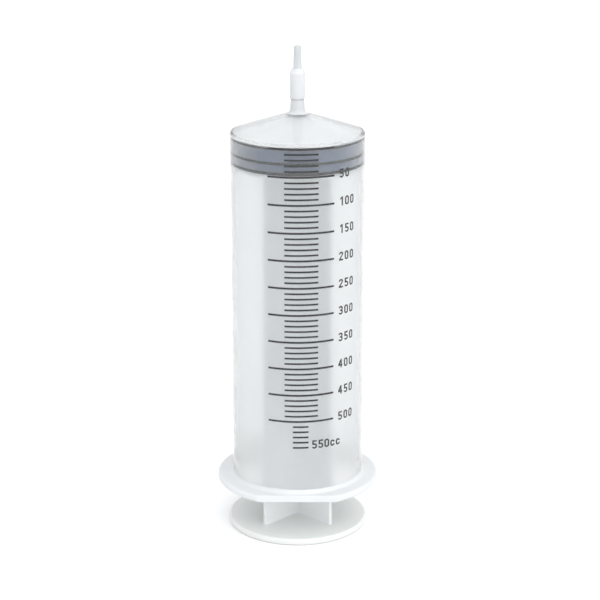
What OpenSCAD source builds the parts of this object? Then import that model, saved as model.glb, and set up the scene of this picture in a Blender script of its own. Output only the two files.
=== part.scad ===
// Large clear syringe for injecting marinade, standing nozzle up on its thumb disc.
// Millimetres. The origin is the centre of the thumb disc's underside, +Z points to the
// nozzle and the printed scale faces -Y. The plunger is pushed fully in.

/* [Volume and bore] */
// Radius of the barrel's bore
bore_r = 33; // [31:0.5:34]
// Largest volume on the printed scale, in millilitres
capacity_ml = 550; // [450:10:560]
// Thickness of the barrel's wall
wall_t = 2.3; // [1.8:0.1:2.8]

/* [Nozzle end] */
// Slope of the barrel's conical end, in degrees above level
cone_angle = 18; // [15:0.5:21]
// Rounding of the outer shoulder
shoulder_round = 1.5; // [0.5:0.1:2.5]
// Rounding where the cone runs up into the neck
neck_round = 2.6; // [1:0.1:4]
// Radius of the neck at its top
neck_r = 3.57; // [3.4:0.01:3.8]
// Height of the neck's top above the conical end's apex
neck_rise = 5.4; // [4.5:0.1:8]
// Radius of the bare spigot that the adapter fits over
spigot_r = 3.05; // [2.6:0.05:3.2]
// Length of the bare spigot
spigot_len = 12.6; // [8:0.1:14]
// Radius of the outlet channel
channel_r = 1.5; // [1:0.1:1.8]

/* [Nozzle adapter] */
// Outer radius of the adapter's sleeve
sleeve_r = 4.07; // [3.9:0.01:4.4]
// Length of the sleeve, up to its chamfered top
sleeve_len = 15.8; // [14:0.1:18]
// Radius of the slip tip where it leaves the sleeve
tip_base_r = 2.25; // [1.9:0.01:2.5]
// Radius of the slip tip just below its rounded end
tip_end_r = 1.95; // [1.7:0.01:2.1]
// Length of the slip tip
tip_len = 11.7; // [8:0.1:14]

/* [Finger flange] */
// Height of the gap between the thumb disc and the flange
finger_gap = 21.6; // [16:0.1:30]
// Radius of the flange's round ends
flange_r = 43.7; // [41:0.1:48]
// Distance from the axis to the flange's front and back flats
flange_flat = 37.8; // [36.5:0.1:40]
// Thickness of the flange
flange_t = 3.8; // [3.4:0.1:5]
// Distance from the top of the flange to the last line of the scale
scale_foot = 26.3; // [18:0.1:32]

/* [Piston] */
// Height of the rubber seal
seal_h = 14.4; // [13:0.1:18]
// Radial play between the seal's lips and the bore
lip_play = 0.05; // [0.02:0.01:0.1]
// Depth of the two grooves between the lips
groove_d = 0.9; // [0.5:0.1:1.5]
// Inner radius of the seal
seal_inner_r = 27.55; // [26.5:0.05:28.5]

/* [Plunger] */
// Radius of the thumb disc
disc_r = 37.8; // [34:0.1:41]
// Thickness of the thumb disc
disc_t = 3.7; // [3.2:0.1:5]
// Reach of each rib from the axis, at the thumb disc
rib_reach = 25.6; // [23:0.1:28]
// How much each rib's reach draws in by the piston end
rib_draft = 1.1; // [0.5:0.1:2]
// Thickness of the ribs
rib_t = 2.2; // [1.8:0.1:3]
// Radius of the disc that backs the seal
backing_r = 30.5; // [29.5:0.1:31.5]

/* [Printed scale] */
// Thickness of the printed ink
ink_t = 0.08; // [0.05:0.01:0.12]
// Height of each short printed line
line_w = 0.9; // [0.5:0.05:1]
// Height of each long printed line, one at every number
major_line_w = 1; // [0.6:0.05:1.2]
// Height of a printed digit
digit_h = 4.7; // [3.5:0.1:5.5]
// Width of a printed digit
digit_w = 2.75; // [2.4:0.05:3.2]
// Thickness of a digit's strokes
stroke = 0.8; // [0.5:0.02:0.84]

/* [Hidden] */
$fn = 96;

// Colours
clear_plastic = [0.90, 0.93, 0.95, 0.55];
adapter_plastic = [0.94, 0.95, 0.96];
white_plastic = [0.93, 0.93, 0.92];
rod_plastic = [0.88, 0.89, 0.89];
rubber = [0.36, 0.39, 0.43];
ink = [0.20, 0.20, 0.21];

// Heights along the axis, from the thumb disc's underside up
barrel_r = bore_r + wall_t;
mm_per_ml = 1000 / (PI * bore_r * bore_r);
flange_z = disc_t + finger_gap;
flange_top = flange_z + flange_t;
zero_z = flange_top + scale_foot + capacity_ml * mm_per_ml;
bore_end_z = zero_z + 0.3;
outer_cone_z = bore_end_z + wall_t / cos(cone_angle);
apex_z = outer_cone_z + bore_r * tan(cone_angle);
neck_top = apex_z + neck_rise;
spigot_top = neck_top + spigot_len;
sleeve_z = neck_top + 0.3;
sleeve_top = sleeve_z + sleeve_len;
tip_top = sleeve_top + tip_len;
seal_z = zero_z - seal_h;
backing_top = seal_z - 0.3;
backing_t = 2.8;

// Barrel mouth, flange edge and foot
mouth_lead = 1;
mouth_depth = 2;
edge_round = 1.4;
foot_round = 2.3;
neck_draft = 0.35;

// Piston head and the snap joint to the rod
head_gap = 0.4;
head_wall = 2.4;
head_rim_r = 32.4;
hub_r = seal_inner_r - 0.05;
hub_wall = 2.4;
hub_z = seal_z + 0.1;
snap_neck_r = 9;
snap_head_r = 11.2;
snap_play = 0.1;
snap_lip = 3.6;
snap_head_h = 3.8;
boss_wall = 2.2;

// Plug that joins the rod to the thumb disc
plug_r = 8;
plug_h = 2.1;

// Thumb disc's rest ring and grip rings
rest_ring_w = 3.5;
disc_recess = 0.6;
grip_ring_w = 1.2;

// Scale layout: angles from the front towards +X, steps in millilitres
scale_mid = 3.3;
minor_half = 14.3;
major_half = 28.8;
end_half = 6.7;
end_mid = 2.7;
line_step = 10;
major_step = 50;
scale_last = capacity_ml - major_step;
number_angle = 37.3;
number_pitch = 3.9;
number_rise = 0.6;
unit_angle = 12.4;
unit_pitch = 3.5;
unit_rise = 1.5;
unit_w = 2.6;
unit_h = 3.5;

// Height of a volume's line
function level(ml) = zero_z - ml * mm_per_ml;

// Points of an arc round c, from angle a0 to a1
function arc(c, r, a0, a1, n = 10) =
    [for (i = [0 : n]) c + r * [cos(a0 + (a1 - a0) * i / n), sin(a0 + (a1 - a0) * i / n)]];

// Heights of the inner and outer cones at a radius
function inner_cone(r) = bore_end_z + (bore_r - r) * tan(cone_angle);
function outer_cone(r) = outer_cone_z + (bore_r - r) * tan(cone_angle);
function head_cone(r) = inner_cone(r) - head_gap;

// Outline of the barrel's tube, cone, neck and spigot
module barrel_profile() {
    shoulder_c = barrel_r - shoulder_round;
    shoulder = [shoulder_c, outer_cone(shoulder_c) - shoulder_round / cos(cone_angle)];
    flare_c = neck_r + neck_draft + neck_round;
    flare = [flare_c, outer_cone(flare_c) + neck_round / cos(cone_angle)];
    polygon(concat(
        [[bore_r, flange_z + mouth_depth]],
        [[bore_r + mouth_lead, flange_z]],
        [[barrel_r, flange_z]],
        arc(shoulder, shoulder_round, 0, 90 - cone_angle),
        arc(flare, neck_round, 270 - cone_angle, 180),
        [[neck_r, neck_top], [spigot_r, neck_top]],
        [[spigot_r, spigot_top - 0.6], [spigot_r - 0.4, spigot_top]],
        [[channel_r, spigot_top], [channel_r, inner_cone(channel_r)]],
        [[bore_r, bore_end_z]]
    ));
}

// Outline of the flange, with a rounded rim and a fillet to the tube
module flange_profile() {
    rim = flange_r - edge_round;
    root = barrel_r - wall_t / 2;
    polygon(concat(
        [[root, flange_z]],
        arc([rim, flange_z + edge_round], edge_round, -90, 0, 6),
        arc([rim, flange_top - edge_round], edge_round, 0, 90, 6),
        arc([barrel_r + foot_round, flange_top + foot_round], foot_round, 270, 180, 8),
        [[root, flange_top + foot_round]]
    ));
}

module finger_flange() {
    intersection() {
        rotate_extrude() flange_profile();
        translate([-2 * flange_r, -flange_flat, flange_z - 1])
            cube([4 * flange_r, 2 * flange_flat, flange_t + foot_round + 2]);
    }
}

module barrel() {
    color(clear_plastic) union() {
        rotate_extrude() barrel_profile();
        finger_flange();
    }
}

// Sleeve that slides over the spigot, ending in a tapered slip tip
module nozzle_adapter() {
    tip_round = 0.7;
    color(adapter_plastic) rotate_extrude() polygon(concat(
        [[spigot_r + 0.05, sleeve_z], [sleeve_r, sleeve_z]],
        [[sleeve_r, sleeve_top - 2.4], [sleeve_r - 1.1, sleeve_top], [tip_base_r, sleeve_top]],
        arc([tip_end_r - tip_round, tip_top - tip_round], tip_round, 0, 90, 6),
        [[0.9, tip_top], [0.9, spigot_top + 0.3]],
        [[spigot_r + 0.05, spigot_top + 0.3]]
    ));
}

// Hollow cone and hub of the piston, open towards the rod
module piston_shell() {
    nose_r = 2;
    inside = hub_r - hub_wall;
    boss_r = snap_head_r + snap_play + boss_wall;
    drop = head_wall / cos(cone_angle);
    rotate_extrude() difference() {
        polygon([
            [0, hub_z], [hub_r, hub_z], [hub_r, zero_z], [head_rim_r, zero_z],
            [head_rim_r, head_cone(head_rim_r)], [nose_r, head_cone(nose_r)], [0, head_cone(nose_r)]
        ]);
        polygon([
            [boss_r, hub_z - 1], [inside, hub_z - 1],
            [inside, head_cone(inside) - drop], [boss_r, head_cone(boss_r) - drop]
        ]);
    }
}

// Webs between the piston's boss and its hub
module piston_webs() {
    webs = 8;
    web_t = 1.6;
    web_in = snap_head_r + snap_play + boss_wall / 2;
    for (i = [0 : webs - 1]) rotate([0, 0, 360 / webs * (i + 0.5)])
        translate([web_in, -web_t / 2, hub_z + 1])
            cube([hub_r - hub_wall / 2 - web_in, web_t, zero_z - hub_z]);
}

module piston_head() {
    cavity_z = hub_z + snap_lip - snap_play;
    slot_w = 2;
    color(white_plastic) difference() {
        union() {
            piston_shell();
            piston_webs();
        }
        // Entry and cavity that the rod's head snaps into
        translate([0, 0, hub_z - 1]) cylinder(r = snap_neck_r + snap_play, h = snap_lip + 2);
        translate([0, 0, cavity_z])
            cylinder(r = snap_head_r + snap_play, h = snap_head_h + 2 * snap_play + 0.4);
        // Slots that let the snap lip open
        for (a = [0, 90]) rotate([0, 0, a])
            translate([-snap_head_r - 0.6, -slot_w / 2, hub_z - 1])
                cube([2 * snap_head_r + 1.2, slot_w, snap_lip + 2]);
    }
}

// Rubber ring with three lips and two grooves
module piston_seal() {
    lip_r = bore_r - lip_play;
    groove_r = bore_r - groove_d;
    bevel = 0.25;
    function from_top(d) = zero_z - d;
    color(rubber) rotate_extrude() polygon([
        [seal_inner_r, seal_z], [lip_r - bevel, seal_z],
        [lip_r, seal_z + bevel], [lip_r, from_top(12.8)],
        [groove_r, from_top(12.4)], [groove_r, from_top(9.3)],
        [lip_r, from_top(8.9)], [lip_r, from_top(7.7)],
        [groove_r, from_top(7.3)], [groove_r, from_top(1.6)],
        [lip_r, from_top(1.2)], [lip_r, from_top(bevel)],
        [lip_r - bevel, zero_z], [seal_inner_r, zero_z]
    ]);
}

// One plate of the cross-shaped stem, drawn in slightly towards the piston
module stem_plate() {
    top = backing_top - backing_t / 2;
    tip_reach = rib_reach - rib_draft;
    rotate([90, 0, 0]) linear_extrude(height = rib_t, center = true) polygon([
        [-rib_reach, disc_t], [rib_reach, disc_t],
        [tip_reach, top], [-tip_reach, top]
    ]);
}

module plunger_rod() {
    core_r = 2.4;
    lead = 0.8;
    head_z = hub_z + snap_lip;
    color(rod_plastic) union() {
        for (a = [45, 135]) rotate([0, 0, a]) stem_plate();
        rotate_extrude() polygon([
            [0, disc_t - plug_h], [plug_r - 0.4, disc_t - plug_h],
            [plug_r, disc_t - plug_h + 0.4], [plug_r, disc_t], [core_r, disc_t],
            [core_r, backing_top - backing_t],
            [backing_r - 0.5, backing_top - backing_t], [backing_r, backing_top - backing_t + 0.5],
            [backing_r, backing_top], [snap_neck_r, backing_top],
            [snap_neck_r, head_z], [snap_head_r, head_z],
            [snap_head_r, head_z + snap_head_h - 1.5],
            [snap_head_r - 1.8, head_z + snap_head_h], [0, head_z + snap_head_h]
        ]);
    }
}

// Disc pressed by the thumb, with a rest ring and grip rings underneath
module thumb_disc() {
    edge = 1.3;
    color(white_plastic) difference() {
        rotate_extrude() polygon(concat(
            [[0, 0], [disc_r - edge, 0]],
            arc([disc_r - edge, edge], edge, -90, 0, 6),
            arc([disc_r - edge, disc_t - edge], edge, 0, 90, 6),
            [[0, disc_t]]
        ));
        // Pocket for the rod's plug
        translate([0, 0, disc_t - plug_h - 0.1]) cylinder(r = plug_r + 0.05, h = plug_h + 1);
        // Shallow recess inside the rest ring, leaving the grip rings standing
        difference() {
            translate([0, 0, -1]) cylinder(r = disc_r - edge - rest_ring_w, h = 1 + disc_recess);
            for (r = [12 : 6 : 27]) translate([0, 0, -2]) difference() {
                cylinder(r = r + grip_ring_w / 2, h = 4);
                translate([0, 0, -1]) cylinder(r = r - grip_ring_w / 2, h = 6);
            }
        }
    }
}

// Printed line at a volume: half is half its angle round the barrel, w is its height
module printed_line(ml, mid, half, w = line_w) {
    rotate([0, 0, mid - half - 90])
        translate([0, 0, level(ml) - w / 2])
            rotate_extrude(angle = 2 * half) translate([barrel_r, 0]) square([ink_t, w]);
}

module graduation_minor_lines() {
    color(ink) for (ml = [0 : line_step : scale_last])
        if (ml % major_step != 0) printed_line(ml, scale_mid, minor_half);
}

module graduation_major_lines() {
    color(ink) for (ml = [0 : major_step : scale_last])
        printed_line(ml, scale_mid, major_half, major_line_w);
}

module graduation_end_lines() {
    color(ink) for (ml = [scale_last + line_step : line_step : capacity_ml])
        printed_line(ml, end_mid, end_half);
}

// Upright block with rounded corners
module rounded(w, h) {
    r = min(w, h) / 2 - 0.05;
    for (x = [r, w - r], y = [r, h - r]) translate([x, y]) circle(r);
    translate([r, 0]) square([w - 2 * r, h]);
    translate([0, r]) square([w, h - 2 * r]);
}

// The same block as an outline stroke
module ring(w, h) {
    difference() {
        rounded(w, h);
        translate([stroke, stroke]) rounded(w - 2 * stroke, h - 2 * stroke);
    }
}

// Glyphs stand on the X axis and start at the origin
module glyph_0() {
    ring(digit_w, digit_h);
}

module glyph_1() {
    stem = digit_w * 0.55;
    translate([stem, 0]) square([stroke, digit_h]);
    polygon([[stem, digit_h], [stem - 0.95, digit_h - 0.85], [stem - 0.95, digit_h - 1.6],
        [stem, digit_h - 1]]);
}

module glyph_2() {
    r = digit_w / 2;
    intersection() {
        translate([0, digit_h - digit_w]) ring(digit_w, digit_w);
        translate([0, digit_h - r]) square([digit_w, r]);
    }
    polygon([[digit_w - stroke, digit_h - r], [digit_w, digit_h - r], [stroke * 1.35, stroke],
        [0, stroke]]);
    square([digit_w, stroke]);
}

module glyph_3() {
    bowl = (digit_h + stroke) / 2;
    difference() {
        for (y = [0, digit_h - bowl]) translate([0, y]) ring(digit_w, bowl);
        translate([-1, bowl * 0.4]) square([1 + stroke * 1.2, digit_h - bowl * 0.8]);
    }
}

module glyph_4() {
    bar_y = digit_h * 0.22;
    bar_x = digit_w - stroke * 1.55;
    translate([bar_x, 0]) square([stroke, digit_h]);
    translate([0, bar_y]) square([digit_w, stroke]);
    polygon([[0, bar_y], [stroke * 0.95, bar_y], [bar_x + stroke * 0.5, digit_h - stroke * 0.6],
        [bar_x + stroke, digit_h], [bar_x, digit_h], [0, bar_y + stroke]]);
}

module glyph_5() {
    bowl = digit_h * 0.63;
    difference() {
        ring(digit_w, bowl);
        translate([-1, bowl * 0.36]) square([1 + stroke * 1.1, bowl * 0.42]);
    }
    translate([stroke * 0.25, bowl - stroke]) square([stroke, digit_h - bowl + stroke]);
    translate([stroke * 0.25, digit_h - stroke]) square([digit_w - stroke * 0.4, stroke]);
}

module glyph_c() {
    difference() {
        ring(unit_w, unit_h);
        translate([unit_w - stroke * 1.1, unit_h * 0.36]) square([stroke * 2, unit_h * 0.28]);
    }
}

module glyph(name) {
    if (name == "0") glyph_0();
    if (name == "1") glyph_1();
    if (name == "2") glyph_2();
    if (name == "3") glyph_3();
    if (name == "4") glyph_4();
    if (name == "5") glyph_5();
    if (name == "c") glyph_c();
}

// A row of glyphs wrapped on the barrel, starting at an angle, on a base line
module printed_row(glyphs, angle, pitch, base_z) {
    reach = 0.6;
    intersection() {
        translate([0, 0, base_z - 1]) difference() {
            cylinder(r = barrel_r + ink_t, h = digit_h + 2);
            translate([0, 0, -1]) cylinder(r = barrel_r, h = digit_h + 4);
        }
        for (i = [0 : len(glyphs) - 1])
            rotate([0, 0, angle + (i * pitch + digit_w / 2) / barrel_r * 180 / PI])
                translate([-digit_w / 2, -barrel_r + reach, base_z])
                    rotate([90, 0, 0]) linear_extrude(height = 2 * reach) glyph(glyphs[i]);
    }
}

module graduation_numbers() {
    color(ink) for (ml = [major_step : major_step : scale_last])
        printed_row(str(ml), number_angle, number_pitch, level(ml) + number_rise - digit_h / 2);
}

module capacity_mark() {
    color(ink) printed_row(str(capacity_ml, "cc"), unit_angle, unit_pitch,
        level(capacity_ml) + unit_rise - digit_h / 2);
}

barrel();
nozzle_adapter();
piston_head();
piston_seal();
plunger_rod();
thumb_disc();
graduation_minor_lines();
graduation_major_lines();
graduation_end_lines();
graduation_numbers();
capacity_mark();
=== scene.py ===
import math

import bmesh
import bpy
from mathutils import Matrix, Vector


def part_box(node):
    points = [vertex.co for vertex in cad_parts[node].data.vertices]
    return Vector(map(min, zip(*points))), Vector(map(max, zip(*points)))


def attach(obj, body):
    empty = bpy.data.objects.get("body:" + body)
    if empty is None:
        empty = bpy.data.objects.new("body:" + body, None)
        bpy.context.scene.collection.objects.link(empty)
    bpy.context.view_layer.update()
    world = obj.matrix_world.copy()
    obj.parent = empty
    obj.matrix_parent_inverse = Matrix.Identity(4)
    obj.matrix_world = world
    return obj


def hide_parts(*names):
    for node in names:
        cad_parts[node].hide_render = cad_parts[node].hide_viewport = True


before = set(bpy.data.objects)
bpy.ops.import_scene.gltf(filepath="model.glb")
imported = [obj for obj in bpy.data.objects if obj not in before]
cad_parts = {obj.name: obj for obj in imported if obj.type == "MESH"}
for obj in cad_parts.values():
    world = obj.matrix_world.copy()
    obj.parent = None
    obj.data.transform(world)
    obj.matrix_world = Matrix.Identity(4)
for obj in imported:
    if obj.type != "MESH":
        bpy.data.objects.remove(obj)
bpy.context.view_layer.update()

MM = 0.001
STEPS = 288


# ---------------------------------------------------------------- sizes from the frame
def span(node):
    """A node's lowest and highest corners."""
    low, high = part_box(node)
    return Vector(low), Vector(high)


barrel_low, barrel_high = span("barrel")
disc_high = span("thumb_disc")[1]
seal_low, seal_high = span("piston_seal")
adapter_low, adapter_high = span("nozzle_adapter")

FLANGE_Z = barrel_low.z
FLANGE_T = 3.8 * MM
FLANGE_TOP = FLANGE_Z + FLANGE_T
FLANGE_R = 43.7 * MM
FLANGE_FLAT = barrel_high.y
FLANGE_FOOT = 2.3 * MM
BORE_R = 33.0 * MM
BARREL_R = 35.3 * MM
WALL = BARREL_R - BORE_R
CONE = math.radians(18.0)
ZERO_Z = seal_high.z
CONE_GAP = 0.3 * MM
BORE_END = ZERO_Z + CONE_GAP
OUTER_CONE_Z = BORE_END + WALL / math.cos(CONE)
NECK_R = 3.57 * MM
SPIGOT_R = 3.05 * MM
SPIGOT_TOP = barrel_high.z
SPIGOT_LENGTH = 12.6 * MM
NECK_TOP = SPIGOT_TOP - SPIGOT_LENGTH
CHANNEL_R = 1.5 * MM
BACKING_TOP = seal_low.z - 0.3 * MM
BACKING_T = 2.8 * MM


# ---------------------------------------------------------------- mesh helpers
def arc(centre, radius, start, stop, count=10):
    """Points of an arc in the (radius, height) plane, angles in degrees."""
    out = []
    for i in range(count + 1):
        a = math.radians(start + (stop - start) * i / count)
        out.append((centre[0] + radius * math.cos(a), centre[1] + radius * math.sin(a)))
    return out


def subdivided(outline, longest):
    """The same closed outline with long straight stretches cut into equal lengths."""
    out = []
    for i, a in enumerate(outline):
        b = outline[(i + 1) % len(outline)]
        parts = max(1, math.ceil(math.dist(a, b) / longest))
        for k in range(parts):
            t = k / parts
            out.append((a[0] + (b[0] - a[0]) * t, a[1] + (b[1] - a[1]) * t))
    return out


def add_object(name, mesh, sharp=32):
    mesh.shade_smooth()
    mesh.set_sharp_from_angle(angle=math.radians(sharp))
    obj = bpy.data.objects.new(name, mesh)
    bpy.context.scene.collection.objects.link(obj)
    return obj


def lathe(name, outline, steps=STEPS, shape=None, sharp=32):
    """Turns a closed outline round Z. shape(r, z, a) may give a ring's point another place."""
    bm = bmesh.new()
    rings = []
    for r, z in outline:
        if r < 1e-7:
            rings.append([bm.verts.new((0.0, 0.0, z))])
            continue
        ring = []
        for k in range(steps):
            a = 2 * math.pi * k / steps
            p = shape(r, z, a) if shape else (r * math.cos(a), r * math.sin(a), z)
            ring.append(bm.verts.new(p))
        rings.append(ring)
    for i, ring in enumerate(rings):
        following = rings[(i + 1) % len(rings)]
        if len(ring) == 1 and len(following) == 1:
            continue
        for k in range(steps):
            k2 = (k + 1) % steps
            if len(ring) == 1:
                corners = [ring[0], following[k2], following[k]]
            elif len(following) == 1:
                corners = [ring[k], ring[k2], following[0]]
            else:
                corners = [ring[k], ring[k2], following[k2], following[k]]
            bm.faces.new(corners)
    bmesh.ops.recalc_face_normals(bm, faces=bm.faces)
    mesh = bpy.data.meshes.new(name)
    bm.to_mesh(mesh)
    bm.free()
    return add_object(name, mesh, sharp)


# ---------------------------------------------------------------- material helpers
class Shader:
    """A material being wired: new nodes are made by type and linked by socket."""

    def __init__(self, name):
        self.material = bpy.data.materials.new(name)
        self.material.use_nodes = True
        self.tree = self.material.node_tree
        self.bsdf = self.tree.nodes["Principled BSDF"]

    def node(self, kind, **settings):
        made = self.tree.nodes.new(kind)
        for key, value in settings.items():
            if key in made.inputs:
                made.inputs[key].default_value = value
            else:
                setattr(made, key, value)
        return made

    def link(self, a, b):
        self.tree.links.new(a, b)

    def set(self, **values):
        for key, value in values.items():
            self.bsdf.inputs[key.replace("_", " ")].default_value = value

    def place(self):
        return self.node("ShaderNodeTexCoord").outputs["Object"]

    def noise(self, scale, detail=3.0, stretch=(1, 1, 1), roughness=0.5):
        """Noise over object space, its scale in cycles per metre, stretched along the axes."""
        mapping = self.node("ShaderNodeMapping")
        mapping.inputs["Scale"].default_value = stretch
        self.link(self.place(), mapping.inputs["Vector"])
        made = self.node("ShaderNodeTexNoise", Scale=scale, Detail=detail, Roughness=roughness)
        self.link(mapping.outputs["Vector"], made.inputs["Vector"])
        return made.outputs["Fac"]

    def spread(self, value, low, high):
        """Maps noise, which mostly lies between 0.3 and 0.7, to low..high."""
        made = self.node("ShaderNodeMapRange")
        made.inputs["From Min"].default_value = 0.3
        made.inputs["From Max"].default_value = 0.7
        made.inputs["To Min"].default_value = low
        made.inputs["To Max"].default_value = high
        self.link(value, made.inputs["Value"])
        return made.outputs["Result"]

    def mix(self, factor, first, second):
        """A colour from first to second; either may be a fixed colour or another node's output."""
        made = self.node("ShaderNodeMix", data_type="RGBA")
        self.link(factor, made.inputs["Factor"])
        for socket, colour in ((made.inputs["A"], first), (made.inputs["B"], second)):
            if isinstance(colour, tuple):
                socket.default_value = colour
            else:
                self.link(colour, socket)
        return made.outputs["Result"]

    def bump(self, height, strength, distance):
        made = self.node("ShaderNodeBump", Strength=strength, Distance=distance)
        self.link(height, made.inputs["Height"])
        return made.outputs["Normal"]


def srgb(r, g, b):
    """Linear colour of an sRGB colour given as 0..255."""
    def channel(v):
        v /= 255
        return v / 12.92 if v <= 0.04045 else ((v + 0.055) / 1.055) ** 2.4

    return (channel(r), channel(g), channel(b), 1.0)


def plastic_tone(s, scale, dark, light, stretch=(1, 1, 1)):
    """Faint uneven tone, as moulded polypropylene has."""
    s.link(s.mix(s.noise(scale, 3, stretch), dark, light), s.bsdf.inputs["Base Color"])


def barrel_skin(name, through, smooth, rough):
    """A skin of the barrel's wall, nearly clear, with faint flow waves along its length."""
    s = Shader(name)
    s.set(Transmission_Weight=through, IOR=1.45)
    plastic_tone(s, 22, srgb(251, 253, 254), srgb(255, 255, 255), (1, 1, 0.35))
    s.link(s.spread(s.noise(260, 3), smooth, rough), s.bsdf.inputs["Roughness"])
    s.link(s.bump(s.noise(55, 2, (1, 1, 0.12)), 0.03, 0.3 * MM), s.bsdf.inputs["Normal"])
    return s.material


def milky_plastic(name, dark, light, through=0.0):
    """Translucent plastic where it is thick enough to look milky right through."""
    s = Shader(name)
    s.set(Transmission_Weight=through, IOR=1.45)
    plastic_tone(s, 60, dark, light)
    s.link(s.spread(s.noise(260, 3), 0.38, 0.45), s.bsdf.inputs["Roughness"])
    return s.material


def white_plastic(name, dark, light):
    """Opaque moulded plastic with a fine satin grain."""
    s = Shader(name)
    s.set(IOR=1.49)
    plastic_tone(s, 40, dark, light)
    s.link(s.spread(s.noise(500, 3), 0.38, 0.50), s.bsdf.inputs["Roughness"])
    s.link(s.bump(s.noise(900, 2), 0.08, 0.05 * MM), s.bsdf.inputs["Normal"])
    return s.material


def seal_rubber():
    """Grey-blue rubber, with painted shade on its lips where they are squeezed against the bore."""
    s = Shader("seal_rubber")
    s.set(IOR=1.52)
    flat = s.node("ShaderNodeVectorMath", operation="MULTIPLY")
    flat.inputs[1].default_value = (1, 1, 0)
    s.link(s.place(), flat.inputs[0])
    radius = s.node("ShaderNodeVectorMath", operation="LENGTH")
    s.link(flat.outputs["Vector"], radius.inputs[0])
    # Mask for the painted shade: it rises over the lips, from half a millimetre inside the bore to
    # 0.15 mm inside it
    lip_shade_starts, lip_shade_full = 0.5 * MM, 0.15 * MM
    lip_shade = s.node("ShaderNodeMapRange")
    lip_shade.inputs["From Min"].default_value = BORE_R - lip_shade_starts
    lip_shade.inputs["From Max"].default_value = BORE_R - lip_shade_full
    s.link(radius.outputs["Value"], lip_shade.inputs["Value"])
    body = s.mix(s.noise(90, 4), srgb(54, 76, 104), srgb(63, 87, 117))
    # The lips' colour is painted shade, much darker than the body, where they press against the
    # bore
    lips = s.mix(s.noise(150, 3), srgb(8, 12, 20), srgb(13, 18, 28))
    s.link(s.mix(lip_shade.outputs["Result"], body, lips), s.bsdf.inputs["Base Color"])
    s.link(s.spread(s.noise(700, 3), 0.42, 0.6), s.bsdf.inputs["Roughness"])
    s.link(s.bump(s.noise(1400, 3), 0.2, 0.05 * MM), s.bsdf.inputs["Normal"])
    return s.material


def scale_ink():
    """Matte black ink, slightly worn."""
    s = Shader("scale_ink")
    s.set(IOR=1.45)
    wear = s.noise(900, 4, roughness=0.65)
    tone = s.mix(s.spread(wear, 0.0, 1.0), srgb(34, 34, 36), srgb(54, 53, 54))
    s.link(tone, s.bsdf.inputs["Base Color"])
    s.link(s.spread(s.noise(1200, 3), 0.45, 0.65), s.bsdf.inputs["Roughness"])
    s.link(s.bump(wear, 0.15, 0.03 * MM), s.bsdf.inputs["Normal"])
    return s.material


TUBE_SKIN = barrel_skin("frosted_polypropylene", 0.94, 0.10, 0.15)
BORE_SKIN = barrel_skin("frosted_bore", 0.955, 0.52, 0.62)
FLANGE_MILKY = milky_plastic("frosted_thick", srgb(200, 202, 204), srgb(208, 210, 211))
NECK_MILKY = milky_plastic("frosted_neck", srgb(186, 188, 190), srgb(194, 196, 198))
ADAPTER = milky_plastic("adapter_plastic", srgb(218, 220, 222), srgb(226, 228, 230), 0.25)
TIP_MILKY = milky_plastic("adapter_tip", srgb(200, 203, 204), srgb(208, 211, 212), 0.25)
# Painted light: the heads, seen only through the barrel's walls, get a lighter white than the
# stem's same plastic, to make up for light lost in the walls
HEAD_WHITE_PAINTED_LIGHT = white_plastic("white_polypropylene", srgb(228, 230, 231), srgb(235, 237, 238))
STEM_WHITE = white_plastic("stem_polypropylene", srgb(214, 216, 217), srgb(221, 223, 224))
# Painted shade: the thumb disc's white is darker than the stem's same plastic, for the shade of the
# flange above it
DISC_WHITE_PAINTED_SHADE = white_plastic("thumb_disc_white_painted_shade", srgb(208, 210, 208), srgb(215, 217, 215))
RUBBER = seal_rubber()
INK = scale_ink()


def dress(obj, *materials):
    """Gives a piece these materials in place of any that it has."""
    obj.data.materials.clear()
    for material in materials:
        obj.data.materials.append(material)


def part_of(obj, body, slot, *nodes):
    """Makes a piece ride on a body and stand for CAD nodes; its slot is not used."""
    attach(obj, body)
    if nodes:
        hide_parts(*nodes)


# ---------------------------------------------------------------- barrel
def outer_cone(r):
    return OUTER_CONE_Z + (BORE_R - r) * math.tan(CONE)


def inner_cone(r):
    return BORE_END + (BORE_R - r) * math.tan(CONE)


def barrel_outline():
    """From the mouth round the flange, up the tube, cone, neck and spigot, and down the channel."""
    shoulder_round = 1.5 * MM
    neck_round = 2.6 * MM
    neck_foot = 0.35 * MM
    edge = 1.4 * MM
    mouth_lead = 1.0 * MM
    mouth_depth = 2.0 * MM
    shoulder_c = BARREL_R - shoulder_round
    shoulder = (shoulder_c, outer_cone(shoulder_c) - shoulder_round / math.cos(CONE))
    flare_c = NECK_R + neck_foot + neck_round
    flare = (flare_c, outer_cone(flare_c) + neck_round / math.cos(CONE))
    slope = math.degrees(CONE)
    out = [(BORE_R, FLANGE_Z + mouth_depth), (BORE_R + mouth_lead, FLANGE_Z)]
    out += arc((FLANGE_R - edge, FLANGE_Z + edge), edge, -90, 0, 8)
    out += arc((FLANGE_R - edge, FLANGE_TOP - edge), edge, 0, 90, 8)
    out += arc((BARREL_R + FLANGE_FOOT, FLANGE_TOP + FLANGE_FOOT), FLANGE_FOOT, 270, 180, 10)
    out += arc(shoulder, shoulder_round, 0, 90 - slope, 10)
    out += arc(flare, neck_round, 270 - slope, 180, 12)
    out += [(NECK_R, NECK_TOP - 0.3 * MM), (NECK_R - 0.15 * MM, NECK_TOP), (SPIGOT_R, NECK_TOP)]
    out += [(SPIGOT_R, SPIGOT_TOP - 0.6 * MM), (SPIGOT_R - 0.4 * MM, SPIGOT_TOP)]
    out += [(CHANNEL_R, SPIGOT_TOP), (CHANNEL_R, inner_cone(CHANNEL_R)), (BORE_R, BORE_END)]
    return out


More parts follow.
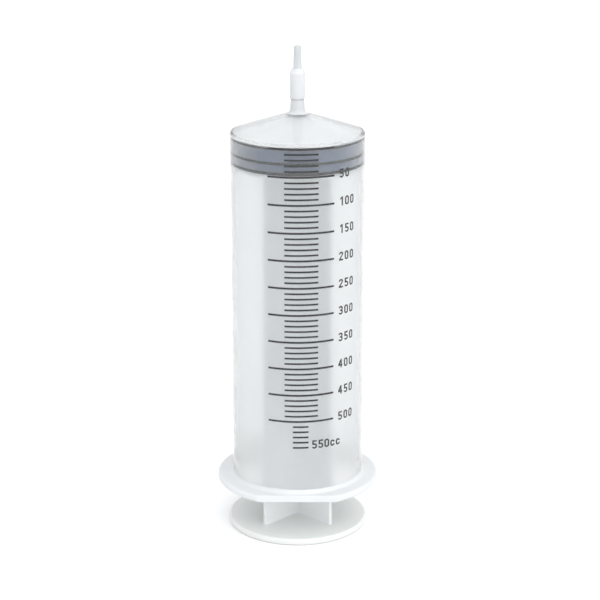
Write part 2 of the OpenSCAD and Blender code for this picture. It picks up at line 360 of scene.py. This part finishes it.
def flange_shape(r, z, a):
    """Cuts the rim of the flange to flats at the front and back, with its edges just broken."""
    rim_w, edge_slope = 1.5 * MM, 0.1
    x, y = r * math.cos(a), r * math.sin(a)
    if z < FLANGE_TOP + 0.1 * MM and r > FLANGE_R - rim_w:
        limit = FLANGE_FLAT - edge_slope * (FLANGE_R - r)
        y = max(-limit, min(limit, y))
    return x, y, z


def make_barrel():
    """One moulding, with a skin for each thickness of its wall."""
    neck_skin_r = 6.5 * MM
    barrel = lathe("frosted_barrel", subdivided(barrel_outline(), 12 * MM), shape=flange_shape)
    skins = [TUBE_SKIN, BORE_SKIN, FLANGE_MILKY, NECK_MILKY]
    dress(barrel, *skins)
    for face in barrel.data.polygons:
        middle = face.center
        r = math.hypot(middle.x, middle.y)
        if r < BORE_R + 0.2 * MM and middle.z < inner_cone(r) + 0.3 * MM:
            skin = BORE_SKIN
        elif middle.z < FLANGE_TOP + FLANGE_FOOT:
            skin = FLANGE_MILKY
        elif r < neck_skin_r:
            skin = NECK_MILKY
        else:
            skin = TUBE_SKIN
        face.material_index = skins.index(skin)
    part_of(barrel, "barrel", "frosted_polypropylene", "barrel")


# ---------------------------------------------------------------- nozzle adapter
def make_adapter():
    """Sleeve with a chamfered top, ending in a tapered slip tip."""
    sleeve_r = adapter_high.x
    base, top = adapter_low.z, adapter_high.z
    tip_length = 11.7 * MM
    sleeve_top = top - tip_length
    tip_base, tip_end = 2.25 * MM, 1.95 * MM
    channel = 0.9 * MM
    socket_r = SPIGOT_R + 0.05 * MM
    socket_top = SPIGOT_TOP + 0.3 * MM
    brim = 0.3 * MM
    tip_round = 0.6 * MM
    root = 0.35 * MM
    out = [(socket_r, base), (sleeve_r - brim, base)]
    out += arc((sleeve_r - brim, base + brim), brim, -90, 0, 5)[1:]
    out += [(sleeve_r, sleeve_top - 2.4 * MM), (sleeve_r - 0.15 * MM, sleeve_top - 2.1 * MM)]
    out += [(sleeve_r - 1.0 * MM, sleeve_top - 0.2 * MM), (sleeve_r - 1.2 * MM, sleeve_top)]
    out += arc((tip_base + root, sleeve_top + root), root, 270, 180, 5)
    out += arc((tip_end - tip_round, top - tip_round), tip_round, 0, 90, 8)
    out += [(channel + 0.1 * MM, top), (channel, top - 0.2 * MM)]
    out += [(channel, socket_top), (socket_r, socket_top)]
    adapter = lathe("slip_tip_adapter", subdivided(out, 3 * MM), steps=96, sharp=20)
    dress(adapter, ADAPTER, TIP_MILKY)
    for face in adapter.data.polygons:
        face.material_index = 1 if face.center.z > sleeve_top + 0.1 * MM else 0
    part_of(adapter, "adapter", "adapter_plastic", "nozzle_adapter")


# ---------------------------------------------------------------- piston
def make_seal():
    """Three lips with two grooves between; the lips press a hair into the wall, as rubber does."""
    top, bottom = seal_high.z, seal_low.z
    squeeze, groove_depth = 0.03 * MM, 0.9 * MM
    lip_r = BORE_R + squeeze
    groove_r = BORE_R - groove_depth
    inner = 27.55 * MM
    bevel = 0.3 * MM

    # The foot and the top of each groove, in millimetres below the seal's top
    grooves = ((12.8, 9.3), (7.7, 1.6))

    def below(d):
        return top - d * MM

    out = [(inner, bottom), (lip_r - bevel, bottom)]
    out += arc((lip_r - bevel, bottom + bevel), bevel, -90, 0, 5)[1:]
    for foot, head in grooves:
        out += [(lip_r, below(foot)), (lip_r - 0.15 * MM, below(foot - 0.12))]
        out += [(groove_r + 0.1 * MM, below(foot - 0.32)), (groove_r, below(foot - 0.5))]
        out += [(groove_r, below(head + 0.15)), (groove_r + 0.15 * MM, below(head - 0.05))]
        out += [(lip_r - 0.1 * MM, below(head - 0.3)), (lip_r, below(head - 0.45))]
    out += arc((lip_r - bevel, top - bevel), bevel, 0, 90, 5)
    out += [(inner, top)]
    seal = lathe("lip_seal", out, steps=240)
    dress(seal, RUBBER)
    part_of(seal, "piston", "seal_rubber", "piston_seal")


# ---------------------------------------------------------------- plunger
def cross_ring(bm, reach, half, fillet, z, turn=math.radians(45)):
    """One level of the cross-shaped stem, with rounded rib ends and filleted inner corners."""
    tip = min(0.6 * MM, half * 0.6)
    arm = arc((half + fillet, -half - fillet), fillet, 180, 90, 5)
    arm += arc((reach - tip, -half + tip), tip, -90, 0, 4)
    arm += arc((reach - tip, half - tip), tip, 0, 90, 4)
    ring = []
    for quarter in range(4):
        a = turn + quarter * math.pi / 2
        for x, y in arm:
            place = (x * math.cos(a) - y * math.sin(a), x * math.sin(a) + y * math.cos(a), z)
            ring.append(bm.verts.new(place))
    return ring


def make_stem(top):
    """Four ribs, drawn in towards the piston, with a small fillet at both ends."""
    foot_z = disc_high.z
    reach, draft, half, fillet = 25.6 * MM, 1.1 * MM, 1.1 * MM, 1.3 * MM
    flare = 0.7 * MM
    sunk = 0.2 * MM
    length = top - foot_z
    heights = [flare * i / 5 for i in range(5)]
    heights += [flare + (length - 2 * flare) * i / 14 for i in range(15)]
    heights += [length - flare + flare * i / 5 for i in range(1, 6)]
    # Both ends go a little way into the piece that they meet
    sink = {heights[0]: -sunk, heights[-1]: sunk}
    bm = bmesh.new()
    rings = []
    for h in heights:
        edge = min(h, length - h)
        grow = flare - math.sqrt(max(0.0, flare**2 - (flare - edge) ** 2)) if edge < flare else 0.0
        level = foot_z + h + sink.get(h, 0.0)
        out_to = reach - draft * h / length + grow
        rings.append(cross_ring(bm, out_to, half + grow, fillet - grow, level))
    count = len(rings[0])
    for low_ring, high_ring in zip(rings, rings[1:]):
        for k in range(count):
            k2 = (k + 1) % count
            bm.faces.new([low_ring[k], low_ring[k2], high_ring[k2], high_ring[k]])
    bm.faces.new(list(reversed(rings[0])))
    bm.faces.new(rings[-1])
    bmesh.ops.recalc_face_normals(bm, faces=bm.faces)
    mesh = bpy.data.meshes.new("plunger_stem")
    bm.to_mesh(mesh)
    bm.free()
    stem = add_object("plunger_stem", mesh)
    dress(stem, STEM_WHITE)
    part_of(stem, "plunger", "white_polypropylene", "plunger_rod")


def make_rod_head(top):
    """Disc that backs the seal, with the neck and the snap head above it."""
    backing_r, edge = 30.5 * MM, 0.5 * MM
    neck_r, head_r = 9.0 * MM, 11.2 * MM
    neck_length, head_t = 3.7 * MM, 3.8 * MM
    head_z = seal_low.z + neck_length
    head_top = head_z + head_t
    out = [(0.0, top - BACKING_T)]
    out += arc((backing_r - edge, top - BACKING_T + edge), edge, -90, 0, 5)
    out += arc((backing_r - edge, top - edge), edge, 0, 90, 5)
    lead_r, lead_z = 1.8 * MM, 1.5 * MM
    out += [(neck_r, top), (neck_r, head_z), (head_r, head_z), (head_r, head_top - lead_z)]
    out += [(head_r - lead_r, head_top), (0.0, head_top)]
    head = lathe("plunger_head", out, steps=160)
    # Painted light: a lighter white for a head seen only through the barrel's walls
    dress(head, HEAD_WHITE_PAINTED_LIGHT)
    part_of(head, "plunger", "white_polypropylene")


def make_disc():
    """Thumb disc with a rounded rim, a rest ring, three grip rings and a gate mark underneath."""
    r, top = disc_high.x, disc_high.z
    edge, rest_w, recess = 1.3 * MM, 3.5 * MM, 0.6 * MM
    ring_half, soft = 0.6 * MM, 0.2 * MM
    gate_r, gate_drop = 1.4 * MM, 0.25 * MM
    out = [(0.0, recess - gate_drop), (gate_r, recess - gate_drop), (1.7 * MM, recess)]
    for ring_r in (12 * MM, 18 * MM, 24 * MM):
        out += [(ring_r - ring_half, recess), (ring_r - ring_half, soft)]
        out += [(ring_r - ring_half + soft, 0.0), (ring_r + ring_half - soft, 0.0)]
        out += [(ring_r + ring_half, soft), (ring_r + ring_half, recess)]
    inner = r - edge - rest_w
    out += [(inner, recess), (inner, soft), (inner + soft, 0.0)]
    out += arc((r - edge, edge), edge, -90, 0, 8)
    out += arc((r - edge, top - edge), edge, 0, 90, 8)
    out += [(0.0, top)]
    disc = lathe("thumb_rest", subdivided(out, 8 * MM), steps=240)
    # Painted shade: the disc's white is darker, for the flange's shade falling on it
    dress(disc, DISC_WHITE_PAINTED_SHADE)
    part_of(disc, "plunger", "white_polypropylene", "thumb_disc")


def dress_cad_nodes():
    """CAD nodes whose shape is right stay, dressed in this script's materials."""
    # Painted light: the piston head, seen only through the barrel's walls, gets the lighter head
    # white
    dress(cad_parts["piston_head"], HEAD_WHITE_PAINTED_LIGHT)
    for node in ("minor_lines", "major_lines", "end_lines", "numbers"):
        dress(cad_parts["graduation_" + node], INK)
    dress(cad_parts["capacity_mark"], INK)


make_barrel()
make_adapter()
make_seal()
make_stem(BACKING_TOP - BACKING_T)
make_rod_head(BACKING_TOP)
make_disc()
dress_cad_nodes()


# ---------------------------------------------------------------- stage, light and camera
# Sky brightness by sine of elevation: softer at the horizon, brightest overhead. The two ends of
# the curve come first, as a new curve already has them.
SKY = ((0.0, 0.42), (1.0, 1.0), (0.25, 0.70), (0.5, 0.97))
SKY_GAIN = 1.38
# Broad soft light from the front right, added to the sky
SOFTBOX_TOWARDS = (0.45, -0.8, 0.45)
SOFTBOX_FOCUS = 4.0
SOFTBOX_GAIN = 1.6


def stage_floor():
    """Plain pale floor, wide enough that its far edge stays out of sight from 15 degrees up."""
    reach = 60.0
    mesh = bpy.data.meshes.new("floor")
    corners = [(-reach, -reach, 0), (reach, -reach, 0), (reach, reach, 0), (-reach, reach, 0)]
    mesh.from_pydata(corners, [], [(0, 1, 2, 3)])
    floor = bpy.data.objects.new("floor", mesh)
    bpy.context.scene.collection.objects.link(floor)
    s = Shader("floor_white")
    s.set(Base_Color=(0.86, 0.86, 0.86, 1), Roughness=0.9, Specular_IOR_Level=0.1)
    dress(floor, s.material)


def world_light(levels):
    """White studio sky. levels gives its brightness at each height, as sine of elevation."""
    world = bpy.data.worlds.new("studio")
    world.use_nodes = True
    tree = world.node_tree
    place = tree.nodes.new("ShaderNodeTexCoord")
    split = tree.nodes.new("ShaderNodeSeparateXYZ")
    ramp = tree.nodes.new("ShaderNodeFloatCurve")
    curve = ramp.mapping.curves[0]
    tree.links.new(place.outputs["Generated"], split.inputs["Vector"])
    tree.links.new(split.outputs["Z"], ramp.inputs["Value"])
    for i, (height, level) in enumerate(levels):
        if i < 2:
            curve.points[i].location = (height, level)
        else:
            curve.points.new(height, level)
    # Below the horizon the sky keeps its first level, where it would otherwise go negative
    ramp.mapping.extend = "HORIZONTAL"
    ramp.mapping.update()

    def math_node(operation, first, second):
        made = tree.nodes.new("ShaderNodeMath")
        made.operation = operation
        for socket, value in zip(made.inputs, (first, second)):
            if isinstance(value, (int, float)):
                socket.default_value = value
            else:
                tree.links.new(value, socket)
        return made.outputs["Value"]

    facing = tree.nodes.new("ShaderNodeVectorMath")
    facing.operation = "DOT_PRODUCT"
    facing.inputs[1].default_value = Vector(SOFTBOX_TOWARDS).normalized()
    tree.links.new(place.outputs["Generated"], facing.inputs[0])
    lobe = math_node("POWER", math_node("MAXIMUM", facing.outputs["Value"], 0.0), SOFTBOX_FOCUS)
    softbox = math_node("MULTIPLY", lobe, SOFTBOX_GAIN)
    sky = math_node("MULTIPLY", ramp.outputs["Value"], SKY_GAIN)
    tree.links.new(math_node("ADD", sky, softbox), tree.nodes["Background"].inputs["Strength"])
    tree.nodes["Background"].inputs["Color"].default_value = (0.985, 0.992, 1.0, 1.0)
    bpy.context.scene.world = world


def make_camera():
    """The photograph's viewing angle, from the side with the scale."""
    pitch = math.radians(17.2)
    distance = 0.963
    target = Vector((0.0013, 0.0, 0.1262))
    data = bpy.data.cameras.new("camera")
    data.lens = 108
    data.sensor_width = 36
    data.clip_start = 0.01
    cam = bpy.data.objects.new("camera", data)
    back = Vector((0.0, -math.cos(pitch), math.sin(pitch)))
    cam.location = target + back * distance
    cam.rotation_mode = "QUATERNION"
    cam.rotation_quaternion = (-back).to_track_quat("-Z", "Y")
    bpy.context.scene.collection.objects.link(cam)
    bpy.context.scene.camera = cam


stage_floor()
world_light(SKY)
make_camera()
bpy.context.scene.view_settings.view_transform = "Standard"
